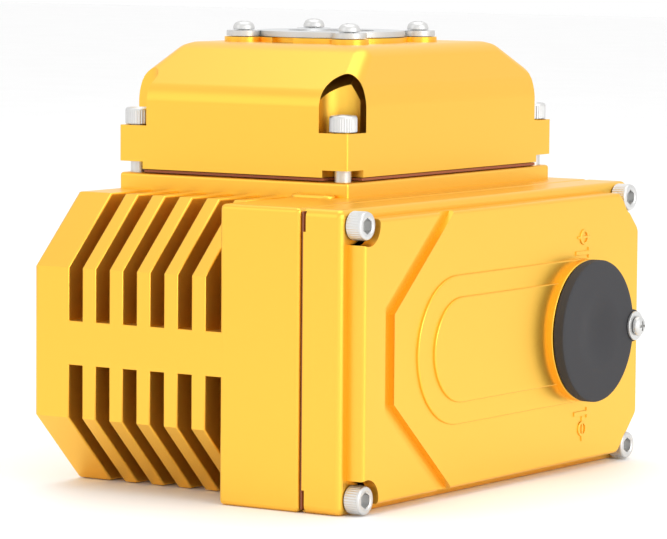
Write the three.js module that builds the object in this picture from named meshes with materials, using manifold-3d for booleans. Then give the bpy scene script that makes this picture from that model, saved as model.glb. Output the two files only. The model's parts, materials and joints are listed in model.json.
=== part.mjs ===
// Motorized quarter-turn valve actuator, as an assembly of separate pieces.
// Millimetres, +Z up. While it is built, X = 0 is the right face of the main housing,
// Y = 0 is its front face and Z = 0 its base; the last group moves the origin to the
// bottom centre of the whole object.
import * as THREE from 'three'
import { mergeVertices } from 'three/addons/utils/BufferGeometryUtils.js'
import Module from 'manifold-3d'

const wasm = await Module()
wasm.setup()

// ---- driving dimensions ----
const GAP = 0.3 // between neighbouring pieces
const BODY = { left: -113.4, right: 0, depth: 197, height: 104.4 }
const WALL = 6
const FLOOR = 8
const FIN = {
  first: -98,
  pitch: 11.8,
  slot: 5.8,
  count: 6,
  depth: 49.5,
  chamfer: 25.5,
  band: 15.8,
  drop: 0.6,
}
const PEDESTAL = { left: -112.5, right: -13.1, front: 49.5, back: 189, top: 110 }
const PARTITION = { left: -36, right: -30 }
const CHAMBER = { front: 6, back: 191, bottom: 6, top: 98.4 }
const SEAM = 1.2 // the side cover starts here, past its gasket
const COVER = { shoulder: 16.9, face: 23.7, inside: 19, front: 4.5, back: 193.5, bottom: 3.5, top: 101 }
const COVER_SCREWS = [[7, 98.9], [7, 5.5], [188, 98.9], [188, 5.5]] // Y, Z
const FAR_CUT = 14
const CAP = { radius: 26.1, boss: 3.6, thick: 4.2, dish: 1.6, pivot: 26, port: 9 }
const UPPER = { left: -112.5, right: -13.3, front: 49.4, back: 190, bottom: 111.2, crease: 140.2, top: 156.8 }
const LEAN = { sides: 9, ends: 25.5 } // how far the top cover's faces lean in above the crease
const UPPER_WALL = 4.5
const LEDGE = 126.9 // screw ledges in the top cover's corners
const SCREW_IN = 5.1 // their axes, from each face
const POCKET = 7
const AXIS = { x: -65, y: 116.8 } // output shaft
const WORM = { y: 150, z: 52.2, module: 1.4, pitchRadius: 8, starts: 1, turns: 6 }
const WHEEL_TEETH = 36
const WHEEL_THICK = 12
const MOTOR = { y: 78, z: 80, radius: 20, left: -97 }
const WINDOW = { spacing: 46.5, lobe: 6.4, round: 27.5, boss: 1.8, plate: 2, sight: 16, seat: 21 }
const M6 = { shank: 3, head: 5, height: 6, socket: 2.6 }
const HOLE_PLAY = 0.3
const SWITCH_PLATE = { bottom: 103, top: 105, front: 64, back: 182 }
const FINE = 24 // facets round a large circle
const COARSE = 12 // and round a small one

// ---- materials ----
const paint = () => new THREE.MeshStandardMaterial({ color: 0xf8b820, roughness: 0.3, metalness: 0 })
const steel = () => new THREE.MeshStandardMaterial({ color: 0xb9babb, roughness: 0.3, metalness: 1 })
const darkSteel = () => new THREE.MeshStandardMaterial({ color: 0x6f7173, roughness: 0.45, metalness: 1 })
const bronze = () => new THREE.MeshStandardMaterial({ color: 0xb5873b, roughness: 0.35, metalness: 1 })
const rubber = () => new THREE.MeshStandardMaterial({ color: 0x2e2e30, roughness: 0.7, metalness: 0 })
const fibre = () => new THREE.MeshStandardMaterial({ color: 0x8f4526, roughness: 0.8, metalness: 0 })
const glass = () => new THREE.MeshStandardMaterial({ color: 0xe6eef0, roughness: 0.05, metalness: 0 })
const plastic = (color) => new THREE.MeshStandardMaterial({ color, roughness: 0.45, metalness: 0 })

// ---- solids ----
function solid(geometry) {
  geometry.deleteAttribute('normal')
  geometry.deleteAttribute('uv')
  const merged = mergeVertices(geometry)
  const vertProperties = new Float32Array(merged.attributes.position.array)
  const triVerts = new Uint32Array(merged.index.array)
  return new wasm.Manifold(new wasm.Mesh({ numProp: 3, vertProperties, triVerts }))
}

// x: outline in (y, z) along +X; y: outline in (z, x) along +Y; z: outline in (x, y) along +Z
function turnTo(geometry, axis) {
  const [x, y, z] = [new THREE.Vector3(1, 0, 0), new THREE.Vector3(0, 1, 0), new THREE.Vector3(0, 0, 1)]
  const basis = { x: [y, z, x], y: [z, x, y], z: [x, y, z] }[axis]
  return geometry.applyMatrix4(new THREE.Matrix4().makeBasis(...basis))
}

function prism(axis, outline, from, to, curveSegments = 4) {
  const drawn = () => new THREE.Shape(outline.map((p) => new THREE.Vector2(...p)))
  const shape = outline instanceof THREE.Shape ? outline : drawn()
  const geometry = new THREE.ExtrudeGeometry(shape, { depth: to - from, bevelEnabled: false, curveSegments })
  return solid(turnTo(geometry.translate(0, 0, from), axis))
}

function box(x0, x1, y0, y1, z0, z1) {
  const geometry = new THREE.BoxGeometry(x1 - x0, y1 - y0, z1 - z0)
  return solid(geometry.translate((x0 + x1) / 2, (y0 + y1) / 2, (z0 + z1) / 2))
}

// a cylinder along an axis, its centre given in that axis's outline coordinates
function rod(axis, radius, a, b, from, to, facets = COARSE) {
  const geometry = new THREE.CylinderGeometry(radius, radius, to - from, facets).rotateX(Math.PI / 2)
  return solid(turnTo(geometry.translate(a, b, (from + to) / 2), axis))
}

function ring(axis, outer, inner, a, b, from, to, facets = FINE) {
  return rod(axis, outer, a, b, from, to, facets).subtract(rod(axis, inner, a, b, from - 1, to + 1, facets))
}

// a solid of revolution, its profile given as [radius, height] pairs
function turned(axis, profile, a, b, facets = FINE) {
  const points = profile.map(([radius, height]) => new THREE.Vector2(radius, height))
  const geometry = new THREE.LatheGeometry(points, facets).rotateX(Math.PI / 2)
  return solid(turnTo(geometry.translate(a, b, 0), axis))
}

function roundedRectangle(a0, a1, b0, b1, radius) {
  const shape = new THREE.Shape()
  const quarter = Math.PI / 2
  shape.absarc(a1 - radius, b0 + radius, radius, -quarter, 0)
  shape.absarc(a1 - radius, b1 - radius, radius, 0, quarter)
  shape.absarc(a0 + radius, b1 - radius, radius, quarter, 2 * quarter)
  shape.absarc(a0 + radius, b0 + radius, radius, 2 * quarter, 3 * quarter)
  return shape
}

function stadium(a0, a1, b, radius) {
  const shape = new THREE.Shape()
  shape.absarc(a1, b, radius, -Math.PI / 2, Math.PI / 2)
  shape.absarc(a0, b, radius, Math.PI / 2, (3 * Math.PI) / 2)
  return shape
}

const joined = (first, ...rest) => rest.reduce((sum, piece) => sum.add(piece), first)
const cutBy = (first, ...rest) => rest.reduce((left, piece) => left.subtract(piece), first)

const assembly = new THREE.Group()

function place(name, material, shape, position = [0, 0, 0], rotation = [0, 0, 0]) {
  const { vertProperties, triVerts } = shape.getMesh()
  const geometry = new THREE.BufferGeometry()
  geometry.setAttribute('position', new THREE.BufferAttribute(vertProperties, 3))
  geometry.setIndex(new THREE.BufferAttribute(triVerts, 1))
  geometry.computeVertexNormals()
  const piece = new THREE.Mesh(geometry, material)
  piece.name = name
  piece.position.set(...position)
  piece.rotation.set(...rotation)
  assembly.add(piece)
}

// ---- gears ----
// teeth with straight flanks; a tooth points along `phase`
function gearOutline(teeth, module, phase, play = 0.22) {
  const pitchRadius = (teeth * module) / 2
  const step = (2 * Math.PI) / teeth
  const rootRadius = pitchRadius - 1.2 * module
  const tipRadius = pitchRadius + 0.85 * module
  const rootHalf = (0.36 * step * pitchRadius - play) / pitchRadius
  const tipHalf = (0.13 * step * pitchRadius - play / 4) / pitchRadius
  const points = []
  for (let tooth = 0; tooth < teeth; tooth++) {
    const middle = phase + tooth * step
    const corners = [
      [rootRadius, -rootHalf],
      [tipRadius, -tipHalf],
      [tipRadius, tipHalf],
      [rootRadius, rootHalf],
    ]
    for (const [radius, angle] of corners) {
      points.push([radius * Math.cos(middle + angle), radius * Math.sin(middle + angle)])
    }
  }
  return points
}

function gear(axis, teeth, module, phase, a, b, from, to) {
  const outline = gearOutline(teeth, module, phase).map(([u, v]) => [u + a, v + b])
  return prism(axis, outline, from, to)
}

// twists a solid about its own Z axis by `rate` radians for each millimetre above `middle`
function twisted(geometry, rate, middle) {
  const position = geometry.attributes.position
  const point = new THREE.Vector3()
  for (let i = 0; i < position.count; i++) {
    point.fromBufferAttribute(position, i)
    point.applyAxisAngle(new THREE.Vector3(0, 0, 1), rate * (point.z - middle))
    position.setXYZ(i, point.x, point.y, point.z)
  }
  return geometry
}

// the thread of the worm: a tapered ridge wound round the X axis
function wormThread(lead, turns, middle) {
  const stepsPerTurn = COARSE
  const steps = turns * stepsPerTurn
  const { module, pitchRadius } = WORM
  const inner = pitchRadius - 2.4 * module
  const outer = pitchRadius + 0.85 * module
  const section = [[-0.45 * lead, inner], [-0.12 * lead, outer], [0.12 * lead, outer], [0.45 * lead, inner]]
  const positions = []
  const index = []
  for (let i = 0; i <= steps; i++) {
    const turn = (i + 0.5) / stepsPerTurn
    const angle = 2 * Math.PI * turn
    const along = lead * (turn - turns / 2) + middle
    for (const [offset, radius] of section) {
      positions.push(along + offset, WORM.y + radius * Math.cos(angle), WORM.z + radius * Math.sin(angle))
    }
  }
  const count = section.length
  for (let i = 0; i < steps; i++) {
    for (let k = 0; k < count; k++) {
      const [a, b] = [i * count + k, i * count + ((k + 1) % count)]
      index.push(a, a + count, b, b, a + count, b + count)
    }
  }
  const last = steps * count
  index.push(0, 1, 2, 0, 2, 3, last, last + 2, last + 1, last, last + 3, last + 2)
  const geometry = new THREE.BufferGeometry()
  geometry.setAttribute('position', new THREE.Float32BufferAttribute(positions, 3))
  geometry.setIndex(index)
  return solid(geometry)
}

// ---- fasteners, head up along Z, the underside of the head at Z = 0 ----
function capScrew({ shank, head, height, socket }, length) {
  const rim = 0.6
  const stem = [[0, -length], [shank, -length], [shank, 0], [head, 0]]
  const profile = [...stem, [head, height - rim], [head - rim, height], [0, height]]
  const body = turned('z', profile, 0, 0, COARSE)
  return body.subtract(rod('z', socket, 0, 0, height * 0.45, height + 1, 6))
}

function panScrew(shank, head, height, length, crossed = true) {
  const shoulder = head * 0.72
  const stem = [[0, -length], [shank, -length], [shank, 0], [head, 0]]
  const profile = [...stem, [head, height * 0.45], [shoulder, height], [0, height]]
  const body = turned('z', profile, 0, 0, COARSE)
  if (!crossed) return body
  const arm = head * 0.5
  const [half, low, high] = [0.5, height * 0.45, height + 1]
  const slot = [box(-arm, arm, -half, half, low, high), box(-half, half, -arm, arm, low, high)]
  return cutBy(body, ...slot)
}

// ---- main housing ----
const upperScrews = [
  [UPPER.left + SCREW_IN, UPPER.front + SCREW_IN],
  [UPPER.right - SCREW_IN, UPPER.front + SCREW_IN],
  [UPPER.left + SCREW_IN, UPPER.back - SCREW_IN],
  [UPPER.right - SCREW_IN, UPPER.back - SCREW_IN],
]
const CAVITY = { left: BODY.left + WALL, right: PARTITION.left, front: 55, back: 190, topBack: 181 }
const plateScrews = [[-103.7, 106], [-103.7, 172], [-40, 106], [-40, 172]]
const glandPlaces = [[-86, 80], [-52, 80]] // X, Z
const GLAND = { thread: 9.7, hole: 10, bore: 4.5, hex: 13.5, dome: 11.2, length: 19 }
const LOWER = { sleeve: 18, bush: 21, boss: 27, bossTop: 27 }

// the gear chamber, less the four corners that hold the cover's screws
function chamberSpace(from, to) {
  const space = box(from, to, CHAMBER.front, CHAMBER.back, CHAMBER.bottom, CHAMBER.top)
  return cutBy(space, ...COVER_SCREWS.map(([y, z]) => rod('x', 6.5, y, z, from - 1, to + 1)))
}

function mainHousing() {
  const { left, depth, height } = BODY
  const middle = height / 2
  const slab = [[0, 0], [depth, 0], [depth, height], [0, height]]
  const chamfered = [
    [FIN.chamfer, 0],
    [depth, 0],
    [depth, height],
    [FIN.chamfer, height],
    [0, height - FIN.chamfer],
    [0, FIN.chamfer],
  ]
  const finsEnd = FIN.first + (FIN.count - 1) * FIN.pitch + FIN.slot
  let housing = joined(
    prism('x', chamfered, left, finsEnd),
    prism('x', slab, finsEnd - FIN.slot / 2, BODY.right),
    box(PEDESTAL.left, PEDESTAL.right, PEDESTAL.front, PEDESTAL.back, height - 1, PEDESTAL.top - GAP),
  )
  for (let slot = 0; slot < FIN.count; slot++) {
    const x = FIN.first + slot * FIN.pitch
    housing = cutBy(
      housing,
      box(x, x + FIN.slot, -1, FIN.depth, middle + FIN.band / 2, height + 1),
      box(x, x + FIN.slot, -1, FIN.depth, -1, middle - FIN.band / 2),
    )
  }
  housing = cutBy(
    housing,
    box(left - 1, finsEnd, -1, FIN.depth, height - FIN.drop, height + 1),
    mainCavity(),
    chamberSpace(PARTITION.right, BODY.right + 1),
    rod('x', 12.4, WORM.y, WORM.z, PARTITION.left - 1, PARTITION.right + 1, FINE),
    rod('x', 7, MOTOR.y, MOTOR.z, PARTITION.left - 1, PARTITION.right + 1),
    ...idlerCentres.map(([y, z]) => rod('x', PIN + HOLE_PLAY, y, z, PARTITION.left - 1, PARTITION.right + 1)),
    ...COVER_SCREWS.map(([y, z]) => rod('x', M6.shank + HOLE_PLAY, y, z, -14, BODY.right + 1)),
    ...upperScrews.map(([x, y]) => rod('z', M6.shank + HOLE_PLAY, x, y, 100.3, PEDESTAL.top)),
  )
  return drilledHousing(housing)
}

// the deep space for the motor and the worm drive, less the bosses that stand in it
function mainCavity() {
  const { left, right, front, back, topBack } = CAVITY
  const space = joined(
    box(left, right, front, back, FLOOR, CHAMBER.top),
    box(left, right, front, topBack, CHAMBER.top - 1, PEDESTAL.top),
  )
  return cutBy(
    space,
    ...upperScrews.map(([x, y]) => rod('z', 7.5, x, y, FLOOR - 1, PEDESTAL.top + 1)),
    rod('z', LOWER.boss, AXIS.x, AXIS.y, FLOOR - 1, LOWER.bossTop, FINE),
    rod('x', 15, WORM.y, WORM.z, left - 1, -100, FINE),
    box(left - 1, -99.5, 101, 178, 98.7, SWITCH_PLATE.bottom - GAP),
    box(-44, right + 1, 101, 178, 98.7, SWITCH_PLATE.bottom - GAP),
  )
}

// holes in the base, the left wall, the ledges and the back wall
function drilledHousing(housing) {
  const mountHoles = [0, 1, 2, 3].map((quarter) => {
    const angle = Math.PI / 4 + (quarter * Math.PI) / 2
    return rod('z', 4.2, AXIS.x + 35 * Math.cos(angle), AXIS.y + 35 * Math.sin(angle), -1, FLOOR - 1.5)
  })
  return cutBy(
    housing,
    rod('z', LOWER.bush + HOLE_PLAY, AXIS.x, AXIS.y, -1, LOWER.bossTop + 1, FINE),
    rod('x', 11.4, WORM.y, WORM.z, -108.5, -99, FINE),
    ...mountHoles,
    ...plateScrews.map(([x, y]) => rod('z', 2.3, x, y, 96, SWITCH_PLATE.bottom)),
    ...glandPlaces.map(([x, z]) => rod('y', GLAND.hole, z, x, CAVITY.back - 1, BODY.depth + 1, 24)),
  )
}

// ---- side cover ----
function octagonGroove() {
  const [outer, inner] = [0, 4.3].map((shift) => {
    const [near, half, reach] = [17.6 + shift, 18.2 - shift * 0.4, 52.9 + shift * 1.4]
    const [mid, end] = [BODY.height / 2, BODY.height / 2 + 6]
    const slope = (reach - near) / (COVER.top - mid - half)
    const far = near + slope * (end - half)
    return [[far, mid + end], [near, mid + half], [near, mid - half], [far, mid - end]]
  })
  return prism('x', [...outer, ...inner.reverse()], COVER.face - 2.4, COVER.face + 1)
}

function sideCover() {
  const middle = BODY.height / 2
  const base = prism('x', roundedRectangle(0, BODY.depth, 0, BODY.height, 3), SEAM, COVER.shoulder)
  const { front, back, bottom, top } = COVER
  const raisedOutline = [
    [front, bottom],
    [back - FAR_CUT, bottom],
    [back, bottom + FAR_CUT],
    [back, top - FAR_CUT],
    [back - FAR_CUT, top],
    [front, top],
  ]
  const cover = joined(
    base,
    prism('x', raisedOutline, COVER.shoulder - 1, COVER.face),
    prism('x', stadium(64, WORM.y, middle, 26.3), COVER.face - 1, COVER.face + 0.8, 10),
    prism('x', stadium(66, WORM.y, middle, 18.6), COVER.face - 1, COVER.face + 1.6, 10),
    rod('x', CAP.radius, WORM.y, WORM.z, COVER.face - 1, COVER.face + CAP.boss, FINE),
    rod('x', 5.6, WORM.y + CAP.pivot, WORM.z, COVER.face - 1, COVER.face + CAP.boss),
  )
  const notches = [BODY.height - 8, 1].map((z) => box(SEAM - 1, SEAM + 1.3, -1, 3, z, z + 7))
  return cutBy(
    cover,
    octagonGroove(),
    chamberSpace(SEAM - 1, COVER.inside),
    ...COVER_SCREWS.slice(0, 2).map(([y, z]) => rod('x', 7, y, z, COVER.shoulder, COVER.face + 1)),
    ...COVER_SCREWS.slice(2).map(([y, z]) => rod('x', 6, y, z, COVER.shoulder, COVER.face + 1)),
    ...COVER_SCREWS.map(([y, z]) => rod('x', M6.shank + HOLE_PLAY, y, z, 0, COVER.face)),
    rod('x', CAP.port, WORM.y, WORM.z, COVER.inside - 1, COVER.face + 5, FINE),
    rod('x', 2.3, WORM.y + CAP.pivot, WORM.z, COVER.inside + 1, COVER.face + 5),
    ...notches,
  )
}

function sideGasket() {
  const sheet = box(GAP, SEAM - GAP, 1.2, BODY.depth - 1.2, 1.2, BODY.height - 1.2)
  const holes = COVER_SCREWS.map(([y, z]) => rod('x', M6.shank + HOLE_PLAY, y, z, 0, SEAM))
  return cutBy(sheet, chamberSpace(0, SEAM), ...holes)
}

// ---- manual override cap ----
function rubberCap() {
  const under = COVER.face + CAP.boss + GAP
  const { radius, thick, dish } = CAP
  const profile = [
    [0, under],
    [radius, under],
    [radius, under + thick - 0.6],
    [radius - 0.6, under + thick],
    [radius - 7, under + thick - 0.5],
    [radius - 17, under + thick - dish],
    [0, under + thick - dish],
  ]
  const ear = rod('x', 6, WORM.y + CAP.pivot, WORM.z, under, under + thick)
  const hole = rod('x', 2.3, WORM.y + CAP.pivot, WORM.z, under - 1, under + thick + 1)
  return turned('x', profile, WORM.y, WORM.z, FINE).add(ear).subtract(hole)
}

// ---- top cover ----
// a block whose four sides lean in above the crease
function hippedBlock(shrink, floor, drop) {
  const { left, right, front, back, crease, top } = UPPER
  const [eaves, roof] = [crease - drop / 2, top - drop]
  const gable = (low, high, lean) => [
    [floor, low + shrink],
    [floor, high - shrink],
    [eaves, high - shrink],
    [roof, high - shrink - lean],
    [roof, low + shrink + lean],
    [eaves, low + shrink],
  ]
  const across = prism('y', gable(left, right, LEAN.sides), front + shrink, back - shrink)
  const side = gable(front, back, LEAN.ends).map(([z, y]) => [y, z])
  return across.intersect(prism('x', side, left + shrink, right - shrink))
}

// the space above a corner screw, open to the two outer faces
function cornerPocket(x, y, radius, from, to) {
  const outX = x < AXIS.x ? UPPER.left - 1 : UPPER.right + 1
  const outY = y < AXIS.y ? UPPER.front - 1 : UPPER.back + 1
  return joined(
    rod('z', radius, x, y, from, to),
    box(Math.min(x, outX), Math.max(x, outX), y - radius, y + radius, from, to),
    box(x - radius, x + radius, Math.min(y, outY), Math.max(y, outY), from, to),
  )
}

const windowReach = [-WINDOW.spacing / 2, WINDOW.spacing / 2]
const windowScrews = windowReach.flatMap((dy) => windowReach.map((dx) => [AXIS.x + dx, AXIS.y + dy]))
const BOSS_TOP = UPPER.top + WINDOW.boss
const PLATE_FROM = BOSS_TOP + GAP

// a disc with a round lobe at each window screw
function lobed(grow, from, to) {
  const lobes = windowScrews.map(([x, y]) => rod('z', WINDOW.lobe + grow, x, y, from, to))
  return joined(rod('z', WINDOW.round + grow, AXIS.x, AXIS.y, from, to, FINE), ...lobes)
}

function topCover() {
  const shell = joined(hippedBlock(0, UPPER.bottom, 0), lobed(0.7, UPPER.top - 1, BOSS_TOP))
  const cavity = cutBy(
    hippedBlock(UPPER_WALL, UPPER.bottom - 1, UPPER_WALL),
    ...upperScrews.map(([x, y]) => cornerPocket(x, y, POCKET + 3, LEDGE - UPPER_WALL, UPPER.top)),
    ...upperScrews.map(([x, y]) => cornerPocket(x, y, 6, UPPER.bottom - 2, LEDGE)),
  )
  const relief = { side: 10.5, height: 2.6 }
  const reliefs = upperScrews.map(([x, y]) => {
    const [cornerX, cornerY] = [x < AXIS.x ? UPPER.left : UPPER.right, y < AXIS.y ? UPPER.front : UPPER.back]
    const [x0, x1] = [cornerX - relief.side, cornerX + relief.side]
    const [y0, y1] = [cornerY - relief.side, cornerY + relief.side]
    return box(x0, x1, y0, y1, UPPER.bottom - 1, UPPER.bottom + relief.height)
  })
  return cutBy(
    shell,
    cavity,
    ...upperScrews.map(([x, y]) => cornerPocket(x, y, POCKET, LEDGE, UPPER.top + 1)),
    ...upperScrews.map(([x, y]) => rod('z', M6.shank + HOLE_PLAY, x, y, UPPER.bottom - 1, LEDGE + 1)),
    ...reliefs,
    rod('z', WINDOW.sight + 1, AXIS.x, AXIS.y, UPPER.top - 9, BOSS_TOP + 1, FINE),
    rod('z', WINDOW.seat, AXIS.x, AXIS.y, UPPER.top - 1.3, BOSS_TOP + 1, FINE),
    ...windowScrews.map(([x, y]) => rod('z', 2.3, x, y, UPPER.top - 3.6, BOSS_TOP + 1)),
    box(AXIS.x - 8, AXIS.x + 2, AXIS.y - 29.5, AXIS.y - 24, UPPER.top, BOSS_TOP + 1),
  )
}

function topGasket() {
  const [low, high] = [PEDESTAL.top, UPPER.bottom - GAP]
  const edge = 0.8
  const [left, right] = [PEDESTAL.left + edge, PEDESTAL.right - edge]
  const sheet = box(left, right, PEDESTAL.front + edge, PEDESTAL.back - edge, low, high)
  const hole = box(CAVITY.left + 1, CAVITY.right - 1, CAVITY.front + 1, CAVITY.topBack - 1, low - 1, high + 1)
  const opening = cutBy(hole, ...upperScrews.map(([x, y]) => rod('z', 9, x, y, low - 2, high + 2)))
  const corners = upperScrews.map(([x, y]) => cornerPocket(x, y, 5.5, low - 1, high + 1))
  return cutBy(sheet, opening, ...corners)
}

// ---- output drive ----
const WHEEL_FROM = WORM.z - WHEEL_THICK / 2
const LEAD = Math.PI * WORM.module * WORM.starts
const WHEEL_SEAT = 12
const SHAFT_TOP = 146.5
const KEY = { half: 2, reach: 14.2, foot: 9.6 }

const WHEEL_TOP = WHEEL_FROM + WHEEL_THICK
const SOCKET = { side: 14, top: 21 }

function keySlot(from, to, bottom, top) {
  const reach = KEY.half + GAP
  return box(AXIS.x + from, AXIS.x + to, AXIS.y - reach, AXIS.y + reach, bottom, top)
}

function outputShaft() {
  const profile = [
    [0, 1],
    [LOWER.sleeve, 1],
    [LOWER.sleeve, WHEEL_FROM - GAP],
    [WHEEL_SEAT, WHEEL_FROM - GAP],
    [WHEEL_SEAT, WHEEL_TOP + 1],
    [8, WHEEL_TOP + 2],
    [8, 98],
    [7, 98],
    [7, 106],
    [6, 106],
    [6, SHAFT_TOP],
    [0, SHAFT_TOP],
  ]
  const keyway = keySlot(KEY.foot - GAP, WHEEL_SEAT + 2, WHEEL_FROM - 0.1, WHEEL_TOP + 3)
  const half = SOCKET.side / 2
  const square = box(AXIS.x - half, AXIS.x + half, AXIS.y - half, AXIS.y + half, 0, SOCKET.top)
  return cutBy(turned('z', profile, AXIS.x, AXIS.y), keyway, square)
}

function wormWheel() {
  const outline = gearOutline(WHEEL_TEETH, WORM.module, Math.PI / 2, 0.3)
  const shape = new THREE.Shape(outline.map((p) => new THREE.Vector2(...p)))
  const geometry = new THREE.ExtrudeGeometry(shape, { depth: WHEEL_THICK, bevelEnabled: false, steps: 2 })
  const rate = LEAD / (2 * Math.PI * WORM.pitchRadius) / ((WHEEL_TEETH * WORM.module) / 2)
  const blank = solid(twisted(geometry, rate, WHEEL_THICK / 2).translate(AXIS.x, AXIS.y, WHEEL_FROM))
  const bore = rod('z', WHEEL_SEAT + GAP, AXIS.x, AXIS.y, WHEEL_FROM - 1, WHEEL_FROM + WHEEL_THICK + 1, FINE)
  const keyway = keySlot(0, KEY.reach + GAP, WHEEL_FROM - 1, WHEEL_TOP + 1)
  return cutBy(blank, bore, keyway)
}

function wheelKey() {
  const { half, reach, foot } = KEY
  const [bottom, top] = [WHEEL_FROM + GAP, WHEEL_TOP - GAP]
  return box(AXIS.x + foot, AXIS.x + reach, AXIS.y - half, AXIS.y + half, bottom, top)
}

// ---- worm ----
const WORM_GEAR = { teeth: 36, from: -12, to: -5, seat: 5 }

function wormShaft() {
  const core = WORM.pitchRadius - 1.3 * WORM.module
  const half = (LEAD * WORM.turns) / 2 + 2
  const profile = [
    [0, -106.5],
    [4.5, -106.5],
    [4.5, -100],
    [core, -99.5],
    [core, AXIS.x + half],
    [5, AXIS.x + half + 1],
    [5, 16.5],
    [0, 16.5],
  ]
  const socket = rod('x', 3.4, WORM.y, WORM.z, 10, 18, 6)
  const thread = wormThread(LEAD, WORM.turns, AXIS.x)
  return turned('x', profile, WORM.y, WORM.z, COARSE).add(thread).subtract(socket)
}

// ---- reduction gears between the motor and the worm ----
const GEAR_MODULE = 1.2
const PIN = 2
const STAGES = { motor: 10, first: [40, 12], second: [36, 12] }
const centreDistance = (a, b) => ((a + b) * GEAR_MODULE) / 2
const firstAngle = (-55 * Math.PI) / 180
const firstDistance = centreDistance(STAGES.motor, STAGES.first[0])
const firstIdler = [
  MOTOR.y + firstDistance * Math.cos(firstAngle),
  MOTOR.z + firstDistance * Math.sin(firstAngle),
]
const wormAxis = [WORM.y, WORM.z]
const motorAxis = [MOTOR.y, MOTOR.z]
const idlerDistance = centreDistance(STAGES.first[1], STAGES.second[0])
const wormDistance = centreDistance(STAGES.second[1], WORM_GEAR.teeth)
const secondIdler = meeting(firstIdler, idlerDistance, wormAxis, wormDistance)
const idlerCentres = [firstIdler, secondIdler]

// the upper point that lies at given distances from two others
function meeting([ay, az], fromA, [by, bz], fromB) {
  const apart = Math.hypot(by - ay, bz - az)
  const along = (fromA ** 2 - fromB ** 2 + apart ** 2) / (2 * apart)
  const aside = Math.sqrt(fromA ** 2 - along ** 2)
  const [uy, uz] = [(by - ay) / apart, (bz - az) / apart]
  return [ay + along * uy - aside * uz, az + along * uz + aside * uy]
}

const bearing = ([ay, az], [by, bz]) => Math.atan2(bz - az, by - ay)
// a driver has a tooth on the line of centres, and the gear that it turns has a gap there
const gapPhase = (from, to, teeth) => bearing(from, to) + Math.PI / teeth

function idler([gearTeeth, pinionTeeth], [y, z], before, after, gearFrom, pinionTo) {
  const gearTo = gearFrom + 5
  const wheel = gear('x', gearTeeth, GEAR_MODULE, gapPhase([y, z], before, gearTeeth), y, z, gearFrom, gearTo)
  const pinion = gear('x', pinionTeeth, GEAR_MODULE, bearing([y, z], after), y, z, gearTo - 1, pinionTo)
  return wheel.add(pinion).subtract(rod('x', PIN + GAP, y, z, gearFrom - 1, pinionTo + 1))
}

function idlerPin([y, z], end) {
  return rod('x', PIN, y, z, PARTITION.left + 1, end).add(rod('x', PIN + 1.2, y, z, end - 0.5, end + 1))
}

// ---- motor ----
function motorBody() {
  const right = PARTITION.left - GAP
  const profile = [
    [0, MOTOR.left],
    [17, MOTOR.left],
    [MOTOR.radius, MOTOR.left + 3],
    [MOTOR.radius, right - 5],
    [18, right - 5],
    [18, right],
    [0, right],
  ]
  const can = turned('x', profile, ...motorAxis)
  const nose = rod('x', 6.6, MOTOR.y, MOTOR.z, right - 1, PARTITION.right - 0.5)
  const bore = rod('x', 3.3, MOTOR.y, MOTOR.z, right - 30, PARTITION.right + 1)
  return can.add(nose).subtract(bore)
}

function motorShaft() {
  const facing = bearing(motorAxis, firstIdler)
  const pinion = gear('x', STAGES.motor, GEAR_MODULE, facing, ...motorAxis, -28, -20.5)
  return pinion.add(rod('x', 3, MOTOR.y, MOTOR.z, -62, -20))
}

// ---- switches and indicator ----
const FEEDBACK = { teeth: 30, potTeeth: 15, module: 1.3, from: 107, to: 110 }
const potDistance = ((FEEDBACK.teeth + FEEDBACK.potTeeth) * FEEDBACK.module) / 2
const potAngle = (70 * Math.PI) / 180
const POT = [AXIS.x + potDistance * Math.cos(potAngle), AXIS.y + potDistance * Math.sin(potAngle)]

function cam(from, lobeAngle) {
  const disc = rod('z', 9.5, AXIS.x, AXIS.y, from, from + 5, 24)
  const lobe = new THREE.Shape()
  lobe.moveTo(AXIS.x, AXIS.y)
  lobe.lineTo(AXIS.x + 12 * Math.cos(lobeAngle - 0.45), AXIS.y + 12 * Math.sin(lobeAngle - 0.45))
  lobe.absarc(AXIS.x, AXIS.y, 12, lobeAngle - 0.45, lobeAngle + 0.45)
  const raised = prism('z', lobe, from, from + 5, 6)
  return disc.add(raised).subtract(rod('z', 6 + GAP, AXIS.x, AXIS.y, from - 1, from + 6))
}

function limitSwitch(from) {
  const body = box(AXIS.x - 28, AXIS.x - 17, AXIS.y - 10, AXIS.y + 10, from, from + 5)
  const lever = box(AXIS.x - 17.5, AXIS.x - 15.6, AXIS.y - 1.5, AXIS.y + 8, from + 1, from + 4)
  const roller = rod('z', 1.7, AXIS.x - 14.2, AXIS.y, from + 1, from + 4)
  return joined(body, lever, roller)
}

function indicatorDisc() {
  const profile = [
    [0, SHAFT_TOP + GAP],
    [6 + GAP, SHAFT_TOP + GAP],
    [6 + GAP, SHAFT_TOP - 5],
    [8.5, SHAFT_TOP - 5],
    [8.5, 148],
    [22, 148],
    [22, 149.6],
    [0, 149.6],
  ]
  return turned('z', profile, AXIS.x, AXIS.y)
}

function switchPlate() {
  const { bottom, top, front, back } = SWITCH_PLATE
  const plate = box(CAVITY.left + 0.6, CAVITY.right - 0.6, front, back - 2, bottom, top)
  const corners = upperScrews.map(([x, y]) => rod('z', 8, x, y, bottom - 1, top + 1))
  return cutBy(
    plate,
    ...corners,
    rod('z', 10 + HOLE_PLAY, AXIS.x, AXIS.y, bottom - 1, top + 1, FINE),
    rod('z', 3.5, ...POT, bottom - 1, top + 1),
    ...plateScrews.map(([x, y]) => rod('z', 2.3, x, y, bottom - 1, top + 1)),
  )
}

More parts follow.
